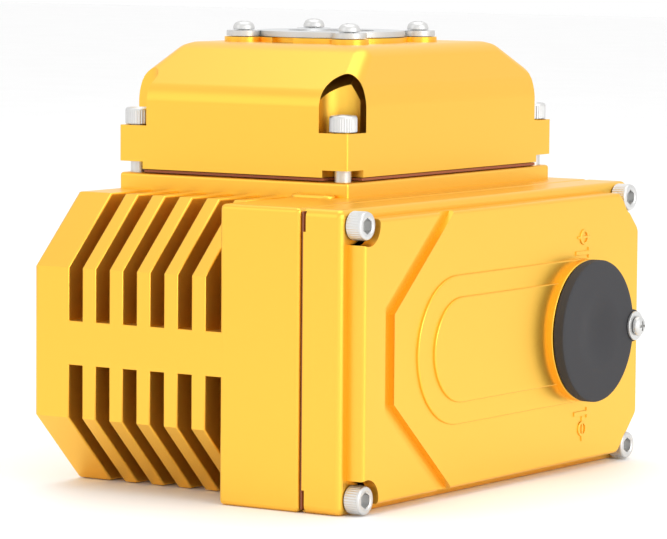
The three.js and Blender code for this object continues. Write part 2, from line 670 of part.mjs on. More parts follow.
function upperBush() {
  const { bottom, top } = SWITCH_PLATE
  const flange = ring('z', 12, 7 + GAP, AXIS.x, AXIS.y, top + GAP, top + 1.3)
  return ring('z', 10, 7 + GAP, AXIS.x, AXIS.y, bottom, top + 1).add(flange)
}

function terminalBlock() {
  const top = SWITCH_PLATE.top + GAP
  const [left, right, front, back] = [-99, -45, 158, 173]
  let block = box(left, right, front, back, top, top + 12)
  const ways = 8
  const pitch = (right - left - 6) / ways
  for (let way = 0; way < ways; way++) {
    const x = left + 3 + (way + 0.5) * pitch
    const access = rod('z', 2, x, front + 5, top + 7, top + 13, 8)
    const mouth = box(x - 2, x + 2, front - 1, front + 4, top + 2, top + 5)
    block = cutBy(block, access, mouth)
  }
  return block
}

function cableGland([x, z]) {
  const face = BODY.depth + GAP
  const { thread, bore, hex, dome, length } = GLAND
  const nut = rod('y', hex, z, x, face, face + 6, 6)
  const profile = [
    [0, CAVITY.back - 2],
    [thread, CAVITY.back - 2],
    [thread, face + 1],
    [dome, face + 1],
    [dome, face + length - 4],
    [dome - 3.5, face + length],
    [0, face + length],
  ]
  const body = turned('y', profile, z, x, FINE)
  return body.add(nut).subtract(rod('y', bore, z, x, CAVITY.back - 4, face + length + 1))
}

// ---- the assembly ----
place('main_housing', paint(), mainHousing())
place('side_cover', paint(), sideCover())
place('side_gasket', fibre(), sideGasket())
COVER_SCREWS.forEach(([y, z], i) => {
  const seat = [COVER.shoulder + GAP, y, z]
  place(`side_cover_screw_${i + 1}`, steel(), capScrew(M6, 30), seat, [0, Math.PI / 2, 0])
})
place('top_cover', paint(), topCover())
place('top_gasket', fibre(), topGasket())
upperScrews.forEach(([x, y], i) => {
  place(`top_cover_screw_${i + 1}`, steel(), capScrew(M6, 26), [x, y, LEDGE + GAP])
})
const sealWidth = [WINDOW.seat - GAP, WINDOW.sight + 1.5]
const windowSeal = ring('z', ...sealWidth, AXIS.x, AXIS.y, UPPER.top - 1, UPPER.top - 0.1)
place('window_gasket', rubber(), windowSeal)
place('window_glass', glass(), rod('z', WINDOW.seat - GAP, AXIS.x, AXIS.y, UPPER.top + 0.2, BOSS_TOP, FINE))
place('window_plate', steel(), cutBy(
  lobed(0, PLATE_FROM, PLATE_FROM + WINDOW.plate),
  rod('z', WINDOW.sight, AXIS.x, AXIS.y, PLATE_FROM - 1, PLATE_FROM + 3, FINE),
  ...windowScrews.map(([x, y]) => rod('z', 2.3, x, y, PLATE_FROM - 1, PLATE_FROM + 3)),
))
windowScrews.forEach(([x, y], i) => {
  place(`window_screw_${i + 1}`, steel(), panScrew(2, 4, 3.1, 7), [x, y, PLATE_FROM + WINDOW.plate + GAP])
})

const capFace = COVER.face + CAP.boss + GAP + CAP.thick
const pivotPlace = [WORM.y + CAP.pivot, WORM.z]
place('rubber_cap', rubber(), rubberCap())
place('cap_washer', steel(), ring('x', 5.4, 2.3, ...pivotPlace, capFace + GAP, capFace + GAP + 0.8, COARSE))
const pivotSeat = [capFace + 2 * GAP + 0.8, ...pivotPlace]
place('cap_screw', steel(), panScrew(2, 3.6, 2.4, 11), pivotSeat, [0, Math.PI / 2, 0])

place('output_shaft', darkSteel(), outputShaft())
place('worm_wheel', bronze(), wormWheel())
place('wheel_key', darkSteel(), wheelKey())
place('lower_bush', bronze(), ring('z', LOWER.bush, LOWER.sleeve + GAP, AXIS.x, AXIS.y, 6.3, LOWER.bossTop))
place('shaft_seal', rubber(), ring('z', LOWER.bush, LOWER.sleeve + GAP, AXIS.x, AXIS.y, 2, 6))
place('upper_bush', bronze(), upperBush())

place('worm_shaft', darkSteel(), wormShaft())
const wormGearPhase = gapPhase(wormAxis, secondIdler, WORM_GEAR.teeth)
const wormGearSpan = [WORM_GEAR.from, WORM_GEAR.to]
const wormGear = gear('x', WORM_GEAR.teeth, GEAR_MODULE, wormGearPhase, ...wormAxis, ...wormGearSpan)
place('worm_gear', darkSteel(), wormGear.subtract(rod('x', WORM_GEAR.seat + GAP, WORM.y, WORM.z, -20, 0)))
place('worm_bearing_left', steel(), ring('x', 11, 4.8, WORM.y, WORM.z, -107.5, -101, 24))
place('worm_bearing_right', steel(), ring('x', 12, 5.3, WORM.y, WORM.z, PARTITION.left, PARTITION.right, 24))

place('motor_body', darkSteel(), motorBody())
place('motor_shaft', steel(), motorShaft())
place('idler_1', darkSteel(), idler(STAGES.first, firstIdler, [MOTOR.y, MOTOR.z], secondIdler, -26.5, -13.5))
place('idler_2', darkSteel(), idler(STAGES.second, secondIdler, firstIdler, [WORM.y, WORM.z], -19.5, -4.5))
place('idler_pin_1', steel(), idlerPin(firstIdler, -12.5))
place('idler_pin_2', steel(), idlerPin(secondIdler, -3.5))

place('switch_plate', steel(), switchPlate())
plateScrews.forEach(([x, y], i) => {
  place(`plate_screw_${i + 1}`, steel(), panScrew(2, 3.4, 2.2, 8, false), [x, y, SWITCH_PLATE.top + GAP])
})
const NYLON = 0xe8e6dc
const feedbackSpan = [FEEDBACK.from, FEEDBACK.to]
const feedbackBore = rod('z', 6 + GAP, AXIS.x, AXIS.y, FEEDBACK.from - 1, FEEDBACK.to + 1)
const feedbackGear = gear('z', FEEDBACK.teeth, FEEDBACK.module, potAngle, AXIS.x, AXIS.y, ...feedbackSpan)
place('feedback_gear', plastic(NYLON), feedbackGear.subtract(feedbackBore))
const potPhase = potAngle + Math.PI + Math.PI / FEEDBACK.potTeeth
const potGear = gear('z', FEEDBACK.potTeeth, FEEDBACK.module, potPhase, ...POT, ...feedbackSpan)
place('pot_gear', plastic(NYLON), potGear.add(rod('z', 3, ...POT, 94, FEEDBACK.to)))
const potCan = ring('z', 9, 3 + GAP, ...POT, 92, SWITCH_PLATE.bottom - GAP, FINE)
place('potentiometer', plastic(0x20407a), potCan.add(rod('z', 9, ...POT, 90, 93, FINE)))
place('cam_close', plastic(0xc23b2c), cam(112, Math.PI))
place('cam_open', plastic(0x2f7a3d), cam(119, Math.PI / 2))
place('limit_switch_close', plastic(0x26282a), limitSwitch(112))
place('limit_switch_open', plastic(0x26282a), limitSwitch(119))
const BRACKET = { left: -97, wall: -93.3, foot: -82, half: 12, bottom: SWITCH_PLATE.top + GAP, top: 126 }
const bracketSpan = [AXIS.y - BRACKET.half, AXIS.y + BRACKET.half, BRACKET.bottom]
const bracketFoot = box(BRACKET.left, BRACKET.foot, ...bracketSpan, SWITCH_PLATE.top + 1.8)
const bracketWall = box(BRACKET.left, BRACKET.wall, ...bracketSpan, BRACKET.top)
place('switch_bracket', steel(), bracketWall.add(bracketFoot))
place('indicator_disc', plastic(0xf2efe6), indicatorDisc())
place('terminal_block', plastic(0xdedbd0), terminalBlock())
place('capacitor', plastic(0xd9d9d4), rod('x', 9, 76, SWITCH_PLATE.top + GAP + 9, -98, -52, FINE))
glandPlaces.forEach((spot, i) => place(`cable_gland_${i + 1}`, plastic(0x2b2c2e), cableGland(spot)))

// ---- the origin: bottom centre of the whole object ----
const bounds = new THREE.Box3().setFromObject(assembly)
const centre = bounds.getCenter(new THREE.Vector3())
assembly.position.set(-centre.x, -centre.y, -bounds.min.z)
assembly.updateMatrixWorld(true)
const actuator = new THREE.Group()
actuator.add(assembly)

export default actuator
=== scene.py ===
"""Looks for a motorized quarter-turn valve actuator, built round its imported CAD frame."""
import json
import math

import bmesh
import bpy
from mathutils import Matrix, Vector


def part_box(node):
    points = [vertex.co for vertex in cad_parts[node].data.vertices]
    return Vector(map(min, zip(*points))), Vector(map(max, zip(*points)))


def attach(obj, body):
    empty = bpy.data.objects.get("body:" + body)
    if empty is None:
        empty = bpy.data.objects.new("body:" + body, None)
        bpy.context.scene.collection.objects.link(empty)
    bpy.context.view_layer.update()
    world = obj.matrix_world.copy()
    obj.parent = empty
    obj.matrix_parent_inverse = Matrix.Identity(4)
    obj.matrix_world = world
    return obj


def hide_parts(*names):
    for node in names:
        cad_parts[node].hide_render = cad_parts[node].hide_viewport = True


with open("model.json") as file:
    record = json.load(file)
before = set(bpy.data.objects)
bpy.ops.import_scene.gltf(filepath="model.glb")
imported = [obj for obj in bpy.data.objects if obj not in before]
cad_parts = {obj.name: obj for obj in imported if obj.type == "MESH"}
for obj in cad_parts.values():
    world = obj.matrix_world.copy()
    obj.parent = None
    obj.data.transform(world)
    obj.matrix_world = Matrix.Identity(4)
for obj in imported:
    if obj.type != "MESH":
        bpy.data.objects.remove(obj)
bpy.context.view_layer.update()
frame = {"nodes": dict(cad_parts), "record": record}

bl_info = {
    "name": "Valve actuator looks",
    "version": (1, 0, 0),
    "blender": (4, 5, 0),
    "location": "View3D > Sidebar > Actuator",
    "description": "Builds the visible pieces of a motorized valve actuator",
    "category": "Object",
}

MM = 0.001
TAU = 2 * math.pi

# The building frame, in millimetres: X = 0 is the right face of the main housing, Y = 0 its
# front face and Z = 0 its base. CORNER is where that frame's origin lies, in metres.
_low, _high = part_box("main_housing")
CORNER = Vector((_high[0], _low[1], _low[2]))


def node_box(node):
    """A CAD node's lowest and highest corners in the building frame, in millimetres."""
    return [(Vector(corner) - CORNER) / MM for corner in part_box(node)]


# ---- driving dimensions, in millimetres ----
HOUSING_LOW, HOUSING_HIGH = node_box("main_housing")
GASKET_HIGH = node_box("side_gasket")[1]
COVER_LOW, COVER_HIGH = node_box("side_cover")
UPPER_LOW, UPPER_HIGH = node_box("top_cover")
CAP_LOW, CAP_HIGH = node_box("rubber_cap")
PLATE_LOW, PLATE_HIGH = node_box("window_plate")
LEFT = HOUSING_LOW.x
DEPTH = COVER_HIGH.y
HEIGHT = COVER_HIGH.z
MIDDLE = HEIGHT / 2
PEDESTAL_TOP = HOUSING_HIGH.z
FIN = {"first": -98.0, "pitch": 11.8, "slot": 5.8, "count": 6, "depth": 49.5, "chamfer": 25.5, "band": 15.8}
FINS_END = FIN["first"] + (FIN["count"] - 1) * FIN["pitch"] + FIN["slot"]
PEDESTAL = {"left": -112.5, "right": -13.1, "front": 49.5, "back": 189.0}
SHOULDER = 16.9
FACE = 23.7
RAISED = {"front": 4.5, "back": 193.5, "bottom": 3.5, "top": 101.0, "cut": 14.0}
COVER_SCREWS = [(7.0, 98.9), (7.0, 5.5), (188.0, 98.9), (188.0, 5.5)]
AXIS = (-65.0, 116.8)
CAP_CENTRE = (150.0, 52.2)
CAP_RADIUS = 26.1
PIVOT = 26.0
CREASE = 140.2
ROOF = 156.8
LEAN = (9.0, 25.5)
LEDGE = 126.9
SCREW_IN = 5.1
POCKET = 7.0
WINDOW_SPACING = 46.5
KNURLS = 36
GLAND = {"thread": 9.7, "dome": 11.2, "hex": 13.5, "bore": 4.5, "length": 19.0}


# ---- mesh making, in millimetres ----
def facing(axis, a=0.0, b=0.0):
    """The transform from an outline's own frame, (a, b, along), to an axis of the building frame."""
    rows = {"x": ((0, 0, 1), (1, 0, 0), (0, 1, 0)), "y": ((0, 1, 0), (0, 0, 1), (1, 0, 0)), "z": ((1, 0, 0), (0, 1, 0), (0, 0, 1))}
    return Matrix(rows[axis]).to_4x4() @ Matrix.Translation((a, b, 0))


def bevel(bm, edges, radius, segments=3):
    """Rounds edges of a mesh."""
    bmesh.ops.bevel(
        bm, geom=edges, offset=radius, offset_type="OFFSET", segments=segments, profile=0.5, affect="EDGES",
        clamp_overlap=True, material=-1,
    )


def block(low, high, radius=0.0, segments=3):
    """A box with rounded edges."""
    bm = bmesh.new()
    size, middle = Vector(high) - Vector(low), (Vector(high) + Vector(low)) / 2
    bmesh.ops.create_cube(bm, size=1.0, matrix=Matrix.Translation(middle) @ Matrix.Diagonal((*size, 1.0)))
    if radius:
        bevel(bm, bm.edges[:], radius, segments)
    return bm


def soften(bm, axis, height, radius, segments=3):
    """Rounds the sharp edges that lie at one height along an axis."""
    k = "xyz".index(axis)
    flat = [e for e in bm.edges if all(abs(v.co[k] - height) < 1e-3 for v in e.verts)]
    sharp = [e for e in flat if len(e.link_faces) == 2 and e.calc_face_angle() > math.radians(30)]
    bevel(bm, sharp, radius, segments)
    return bm


def prism(axis, outline, start, end, far=0.0, near=0.0, segments=3, corners=0.0):
    """An outline pushed along an axis, with its rims and long corners rounded."""
    bm = bmesh.new()
    base = bm.faces.new([bm.verts.new((a, b, start)) for a, b in outline])
    pushed = bmesh.ops.extrude_face_region(bm, geom=[base], use_keep_orig=True)["geom"]
    bmesh.ops.translate(bm, verts=[v for v in pushed if isinstance(v, bmesh.types.BMVert)], vec=(0, 0, end - start))
    bmesh.ops.recalc_face_normals(bm, faces=bm.faces[:])
    if corners:
        bevel(bm, [e for e in bm.edges if abs(e.verts[0].co.z - e.verts[1].co.z) > 1e-3], corners, 5)
    for height, radius in ((end, far), (start, near)):
        if radius:
            soften(bm, "z", height, radius, segments)
    bm.transform(facing(axis))
    return bm


def rod(axis, a, b, radius, start, end, steps=64, far=0.0):
    """A round bar, or a hexagonal one in 6 steps."""
    bm = bmesh.new()
    bmesh.ops.create_cone(
        bm, cap_ends=True, segments=steps, radius1=radius, radius2=radius, depth=end - start,
        matrix=Matrix.Translation((0, 0, (start + end) / 2)),
    )
    if far:
        soften(bm, "z", end, far)
    bm.transform(facing(axis, a, b))
    return bm


def turned(axis, a, b, profile, steps=64):
    """A profile of (radius, height) pairs spun about an axis."""
    bm = bmesh.new()
    verts = [bm.verts.new((radius, 0, height)) for radius, height in profile]
    edges = [bm.edges.new(pair) for pair in zip(verts, verts[1:])]
    bmesh.ops.spin(
        bm, geom=verts + edges, cent=(0, 0, 0), axis=(0, 0, 1), dvec=(0, 0, 0), angle=TAU, steps=steps,
        use_merge=True, use_normal_flip=False, use_duplicate=False,
    )
    bmesh.ops.remove_doubles(bm, verts=bm.verts[:], dist=1e-4)
    bmesh.ops.recalc_face_normals(bm, faces=bm.faces[:])
    bm.transform(facing(axis, a, b))
    return bm


def stadium(axis, a0, a1, b, radius, start, end, far=0.0):
    """A bar with round ends, from two hulled circles."""
    bm = bmesh.new()
    for a in (a0, a1):
        for height in (start, end):
            bmesh.ops.create_circle(bm, cap_ends=False, radius=radius, segments=72, matrix=Matrix.Translation((a, b, height)))
    bmesh.ops.convex_hull(bm, input=bm.verts[:], use_existing_faces=False)
    loose = [v for v in bm.verts if not v.link_faces]
    bmesh.ops.delete(bm, geom=loose, context="VERTS")
    bmesh.ops.dissolve_limit(bm, angle_limit=math.radians(0.5), verts=bm.verts[:], edges=bm.edges[:])
    bmesh.ops.recalc_face_normals(bm, faces=bm.faces[:])
    if far:
        soften(bm, "z", end, far)
    bm.transform(facing(axis))
    return bm


def as_object(bm, name="cutter"):
    """A scratch object for a boolean."""
    mesh = bpy.data.meshes.new(name)
    bm.to_mesh(mesh)
    bm.free()
    made = bpy.data.objects.new(name, mesh)
    bpy.context.scene.collection.objects.link(made)
    return made


def combine(bm, others, operation):
    """Joins or cuts a mesh with others, one by one, with exact booleans."""
    base = as_object(bm, "base")
    cutters = [as_object(other) for other in others]
    for cutter in cutters:
        step = base.modifiers.new("step", "BOOLEAN")
        step.operation = operation
        step.solver = "EXACT"
        step.object = cutter
    evaluated = base.evaluated_get(bpy.context.evaluated_depsgraph_get())
    result = bmesh.new()
    result.from_mesh(evaluated.to_mesh())
    evaluated.to_mesh_clear()
    for scratch in [base, *cutters]:
        mesh = scratch.data
        bpy.data.objects.remove(scratch)
        bpy.data.meshes.remove(mesh)
    bmesh.ops.remove_doubles(result, verts=result.verts[:], dist=1e-4)
    bmesh.ops.dissolve_degenerate(result, dist=1e-4, edges=result.edges[:])
    return result


def cut(bm, *cutters):
    return combine(bm, cutters, "DIFFERENCE")


def fuse(bm, *others):
    return combine(bm, others, "UNION")


def piece(name, bm, material, body="housing", replaces=()):
    """Turns a mesh in millimetres into a finished object that rides on a body."""
    bm.transform(Matrix.Translation(CORNER) @ Matrix.Scale(MM, 4))
    mesh = bpy.data.meshes.new(name)
    bm.to_mesh(mesh)
    bm.free()
    mesh.polygons.foreach_set("use_smooth", [True] * len(mesh.polygons))
    mesh.set_sharp_from_angle(angle=bpy.context.scene.actuator_sizes.crease)
    mesh.materials.append(material)
    made = bpy.data.objects.new(name, mesh)
    bpy.context.scene.collection.objects.link(made)
    even = made.modifiers.new("even_normals", "WEIGHTED_NORMAL")
    even.keep_sharp = True
    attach(made, body)
    if replaces:
        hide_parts(*replaces)
    return made


# ---- materials ----
def node_group(name, inputs, outputs):
    """An empty shader node group with float inputs and the outputs named."""
    group = bpy.data.node_groups.new(name, "ShaderNodeTree")
    for label, kind, value in inputs:
        socket = group.interface.new_socket(name=label, in_out="INPUT", socket_type=kind)
        if value is not None:
            socket.default_value = value
    for label, kind in outputs:
        group.interface.new_socket(name=label, in_out="OUTPUT", socket_type=kind)
    return group, group.nodes.new("NodeGroupInput"), group.nodes.new("NodeGroupOutput")


def noise(tree, coordinates, scale, detail=3.0, roughness=0.5):
    """A noise texture on given coordinates."""
    texture = tree.nodes.new("ShaderNodeTexNoise")
    texture.inputs["Scale"].default_value = scale
    texture.inputs["Detail"].default_value = detail
    texture.inputs["Roughness"].default_value = roughness
    tree.links.new(coordinates, texture.inputs["Vector"])
    return texture.outputs["Fac"]


def spread(tree, value, low, high, start=0.3, end=0.7):
    """A value mapped from start..end to low..high."""
    remap = tree.nodes.new("ShaderNodeMapRange")
    remap.inputs["From Min"].default_value = start
    remap.inputs["From Max"].default_value = end
    remap.inputs["To Min"].default_value = low
    remap.inputs["To Max"].default_value = high
    tree.links.new(value, remap.inputs["Value"])
    return remap.outputs["Result"]


def bumpy_group():
    """Object-space noise as a height: a fine grain laid over a slower wave."""
    group, entry, leave = node_group(
        "surface_height",
        [("Fine", "NodeSocketFloat", 1200.0), ("Slow", "NodeSocketFloat", 90.0)],
        [("Height", "NodeSocketFloat"), ("Patch", "NodeSocketFloat")],
    )
    place = group.nodes.new("ShaderNodeTexCoord").outputs["Object"]
    fine = group.nodes.new("ShaderNodeTexNoise")
    slow = group.nodes.new("ShaderNodeTexNoise")
    fine.inputs["Detail"].default_value = 2.0
    slow.inputs["Detail"].default_value = 2.0
    for texture, label in ((fine, "Fine"), (slow, "Slow")):
        group.links.new(place, texture.inputs["Vector"])
        group.links.new(entry.outputs[label], texture.inputs["Scale"])
    total = group.nodes.new("ShaderNodeMath")
    total.operation = "MULTIPLY_ADD"
    total.inputs[1].default_value = 0.5
    group.links.new(fine.outputs["Fac"], total.inputs[0])
    group.links.new(slow.outputs["Fac"], total.inputs[2])
    group.links.new(total.outputs[0], leave.inputs["Height"])
    group.links.new(slow.outputs["Fac"], leave.inputs["Patch"])
    return group


def surface(name, color, metallic, roughness, fine, slow, bump, variation=0.06, rough_spread=0.05, edge=0.0):
    """A principled material with grain in its bump, patches in its roughness and slight colour change; metals also get
    painted shade in knurl grooves.
    """
    made = bpy.data.materials.new(name)
    made.use_nodes = True
    tree = made.node_tree
    shader = tree.nodes["Principled BSDF"]
    shader.inputs["Metallic"].default_value = metallic
    grain = tree.nodes.new("ShaderNodeGroup")
    grain.node_tree = bpy.data.node_groups.get("surface_height") or bumpy_group()
    grain.inputs["Fine"].default_value = fine
    grain.inputs["Slow"].default_value = slow
    tree.links.new(spread(tree, grain.outputs["Patch"], roughness - rough_spread, roughness + rough_spread), shader.inputs["Roughness"])
    patch = spread(tree, grain.outputs["Patch"], 0.0, 1.0)
    blend = tree.nodes.new("ShaderNodeMix")
    blend.data_type = "RGBA"
    blend.inputs["A"].default_value = (*[c * (1 - variation) for c in color], 1)
    blend.inputs["B"].default_value = (*[min(1.0, c * (1 + variation)) for c in color], 1)
    tree.links.new(patch, blend.inputs["Factor"])
    colour = blend.outputs["Result"]
    # Painted shade: metals take a base colour darkened to 12% wherever the "groove" attribute marks a knurl's groove.
    if metallic:
        groove_shade_mask = tree.nodes.new("ShaderNodeAttribute")
        groove_shade_mask.attribute_name = "groove"
        shade = tree.nodes.new("ShaderNodeMix")
        shade.data_type = "RGBA"
        shade.inputs["B"].default_value = (*[c * 0.12 for c in color], 1)
        tree.links.new(groove_shade_mask.outputs["Fac"], shade.inputs["Factor"])
        tree.links.new(colour, shade.inputs["A"])
        colour = shade.outputs["Result"]
    tree.links.new(colour, shader.inputs["Base Color"])
    relief = tree.nodes.new("ShaderNodeBump")
    relief.inputs["Strength"].default_value = bump
    relief.inputs["Distance"].default_value = 0.0002
    tree.links.new(grain.outputs["Height"], relief.inputs["Height"])
    if edge:
        soft = tree.nodes.new("ShaderNodeBevel")
        soft.samples = 4
        soft.inputs["Radius"].default_value = edge * MM
        tree.links.new(soft.outputs["Normal"], relief.inputs["Normal"])
    tree.links.new(relief.outputs["Normal"], shader.inputs["Normal"])
    return made


def paint():
    """Glossy yellow powder coat with orange peel."""
    made = surface("yellow_paint", bpy.context.scene.actuator_colours.paint, 0.0, 0.27, 420.0, 45.0, 0.16, 0.03, 0.03, edge=0.5)
    shader = made.node_tree.nodes["Principled BSDF"]
    shader.inputs["Coat Weight"].default_value = 0.35
    shader.inputs["Coat Roughness"].default_value = 0.07
    return made


def clear_glass():
    made = surface("clear_glass", (0.93, 0.97, 0.96), 0.0, 0.03, 300.0, 30.0, 0.01, 0.01, 0.01)
    shader = made.node_tree.nodes["Principled BSDF"]
    shader.inputs["Transmission Weight"].default_value = 1.0
    shader.inputs["IOR"].default_value = 1.5
    return made


MATERIALS = {
    "yellow_paint": paint,
    "bright_steel": lambda: surface("bright_steel", (0.46, 0.46, 0.47), 1.0, 0.2, 2600.0, 160.0, 0.10, 0.08, 0.07, edge=0.15),
    "window_steel": lambda: surface("window_steel", (0.48, 0.49, 0.50), 1.0, 0.24, 1800.0, 120.0, 0.12, 0.10, 0.08),
    "gasket_fibre": lambda: surface("gasket_fibre", (0.26, 0.07, 0.03), 0.0, 0.8, 3000.0, 200.0, 0.4, 0.2, 0.08),
    "black_rubber": lambda: surface("black_rubber", bpy.context.scene.actuator_colours.rubber, 0.0, 0.47, 2400.0, 90.0, 0.18, 0.12, 0.06, edge=0.4),
    "clear_glass": clear_glass,
    "dark_steel": lambda: surface("dark_steel", (0.34, 0.34, 0.35), 1.0, 0.36, 2200.0, 150.0, 0.15, 0.12, 0.08),
    "bronze": lambda: surface("bronze", (0.62, 0.40, 0.17), 1.0, 0.34, 2200.0, 150.0, 0.15, 0.1, 0.08),
    "plain_steel": lambda: surface("plain_steel", (0.56, 0.57, 0.58), 1.0, 0.32, 2200.0, 150.0, 0.12, 0.1, 0.08),
    "motor_can": lambda: surface("motor_can", (0.42, 0.43, 0.45), 1.0, 0.42, 1600.0, 100.0, 0.12, 0.08, 0.06),
    "pale_plastic": lambda: surface("pale_plastic", (0.78, 0.76, 0.70), 0.0, 0.42, 1500.0, 110.0, 0.1, 0.04, 0.05),
    "blue_plastic": lambda: surface("blue_plastic", (0.03, 0.09, 0.32), 0.0, 0.4, 1500.0, 110.0, 0.1, 0.06, 0.05),
    "red_plastic": lambda: surface("red_plastic", (0.5, 0.04, 0.03), 0.0, 0.4, 1500.0, 110.0, 0.1, 0.06, 0.05),
    "green_plastic": lambda: surface("green_plastic", (0.03, 0.24, 0.07), 0.0, 0.4, 1500.0, 110.0, 0.1, 0.06, 0.05),
    "black_plastic": lambda: surface("black_plastic", (0.022, 0.022, 0.025), 0.0, 0.44, 1500.0, 110.0, 0.14, 0.1, 0.05),
}


def material(name):
    """A material by its slot name, made once."""
    return bpy.data.materials.get(name) or MATERIALS[name]()


# ---- housing ----
def fin_outline(grow=0.0):
    """A fin seen from the side, in (y, z), chamfered top and bottom at the front."""
    chamfer, back = FIN["chamfer"], FIN["depth"] + 4
    top = HEIGHT - 0.6 + grow
    return [(back, grow), (back, top), (chamfer, top), (0, HEIGHT - chamfer), (0, chamfer), (chamfer, 0.4)]


def chamber(start, end):
    """The gear space's section, less the corners that hold the cover's screws."""
    space = block((start, 6, 6), (end, 191, 98.4))
    return cut(space, *[rod("x", y, z, 6.5, start - 1, end + 1, 32) for y, z in COVER_SCREWS])


def upper_screws():
    """X and Y of the top cover's screws."""
    xs = (UPPER_LOW.x + SCREW_IN, UPPER_HIGH.x - SCREW_IN)
    ys = (UPPER_LOW.y + SCREW_IN, UPPER_HIGH.y - SCREW_IN)
    return [(x, y) for y in ys for x in xs]


def housing_spaces():
    """What is hollow in the main housing."""
    motor = node_box("motor_body")
    deep = block((LEFT + 6, 55, 8), (-36, 190, 98.4))
    opening = block((LEFT + 6, 55, 97), (-36, 181, PEDESTAL_TOP + 1))
    keep = [rod("z", x, y, 7.5, 7, PEDESTAL_TOP + 2, 32) for x, y in upper_screws()]
    boss = rod("z", *AXIS, 27, 7, 27)
    bearing_boss = rod("x", *CAP_CENTRE, 15, LEFT - 1, -100)
    ledges = [block((x0, 101, 98.7), (x1, 178, 102.7)) for x0, x1 in ((LEFT, -99.5), (-44, -35))]
    well = cut(fuse(deep, opening), *keep, boss, bearing_boss, *ledges)
    nose_y, nose_z = (motor[0].y + motor[1].y) / 2, (motor[0].z + motor[1].z) / 2
    return [
        well,
        chamber(-30, 1),
        rod("x", *CAP_CENTRE, 12.4, -37, -29),
        rod("x", *CAP_CENTRE, 11.4, -108.5, -99),
        rod("x", nose_y, nose_z, 7, -37, -29, 32),
        rod("z", *AXIS, 21.3, -1, 28),
        *[rod("z", AXIS[0] + dx, AXIS[1] + dy, 4.2, -1, 6.5, 32) for dx in (-24.75, 24.75) for dy in (-24.75, 24.75)],
        *[rod("y", 80, x, 10, 189, DEPTH + 1, 48) for x in (-86, -52)],
    ]


def housing_shell():
    """The finned casting with its pedestal."""
    outline = fin_outline()
    band_low, band_high = MIDDLE - FIN["band"] / 2, MIDDLE + FIN["band"] / 2
    parts = [prism("x", outline, LEFT, FIN["first"], 0.7, 1.8)]
    for k in range(FIN["count"] - 1):
        start = FIN["first"] + FIN["slot"] + k * FIN["pitch"]
        parts.append(prism("x", outline, start, start + FIN["pitch"] - FIN["slot"], 0.7, 0.7))
    parts += [
        block((LEFT + 1, 0, band_low), (FINS_END + 2, FIN["depth"] + 3, band_high), 0.5, 2),
        block((LEFT, FIN["depth"], 0), (-20, DEPTH, HEIGHT), 1.8),
        block((PEDESTAL["left"], PEDESTAL["front"], HEIGHT - 8), (PEDESTAL["right"], PEDESTAL["back"], PEDESTAL_TOP), 1.2),
        stadium("z", -31, -20, 46.5, 3.2, HEIGHT - 3, HEIGHT + 1.1, 0.9),
    ]
    core = block((FINS_END, 0, 0), (0, DEPTH, HEIGHT), 1.8)
    return cut(fuse(core, *parts), *housing_spaces())


# ---- side cover ----
def octagon_groove():
    """The groove on the cover's near half: upright, then slanting to both rims."""
    near, half, reach, width = 17.6, 18.2, 52.9, 5.8
    beyond = 8.0
    slope = (reach - near) / (RAISED["top"] - MIDDLE - half)
    rise = RAISED["top"] - MIDDLE - half + beyond
    slant = width * math.sqrt(1 + slope**2)
    bend = half - (slant - width) / slope
    far = near + slope * rise
    outer = [(far, half + rise), (near, half), (near, -half), (far, -half - rise)]
    inner = [(far + slant, -half - rise), (near + width, -bend), (near + width, bend), (far + slant, half + rise)]
    return prism("x", [(y, MIDDLE + z) for y, z in outer + inner], FACE - 2.4, FACE + 2)


def marks():
    """Raised arrows and pictograms that tell which way to turn: open above the cap, closed below."""
    made = []
    for z, side in ((83.1, 1), (18.6, -1)):
        y = CAP_CENTRE[0] + 2
        arrow = [(y - 6, z - 3.4 * side), (y + 3, z - 3.4 * side), (y + 3, z - 4.6 * side), (y + 6.5, z - 2.6 * side), (y + 3, z - 0.6 * side), (y + 3, z - 1.8 * side), (y - 6, z - 1.8 * side)]
        made.append(prism("x", arrow[::side], FACE - 1, FACE + 0.45, 0.2, segments=2))
        ring = cut(rod("x", y, z + 3.2 * side, 2.9, FACE - 1, FACE + 0.45, 48, 0.2), rod("x", y, z + 3.2 * side, 2.0, FACE - 2, FACE + 2, 48))
        made.append(ring)
        long, short = (4.6, 0.45) if side > 0 else (0.45, 4.6)
        made.append(block((FACE - 1, y - long, z + 3.2 * side - short), (FACE + 0.4, y + long, z + 3.2 * side + short), 0.15, 2))
    return made


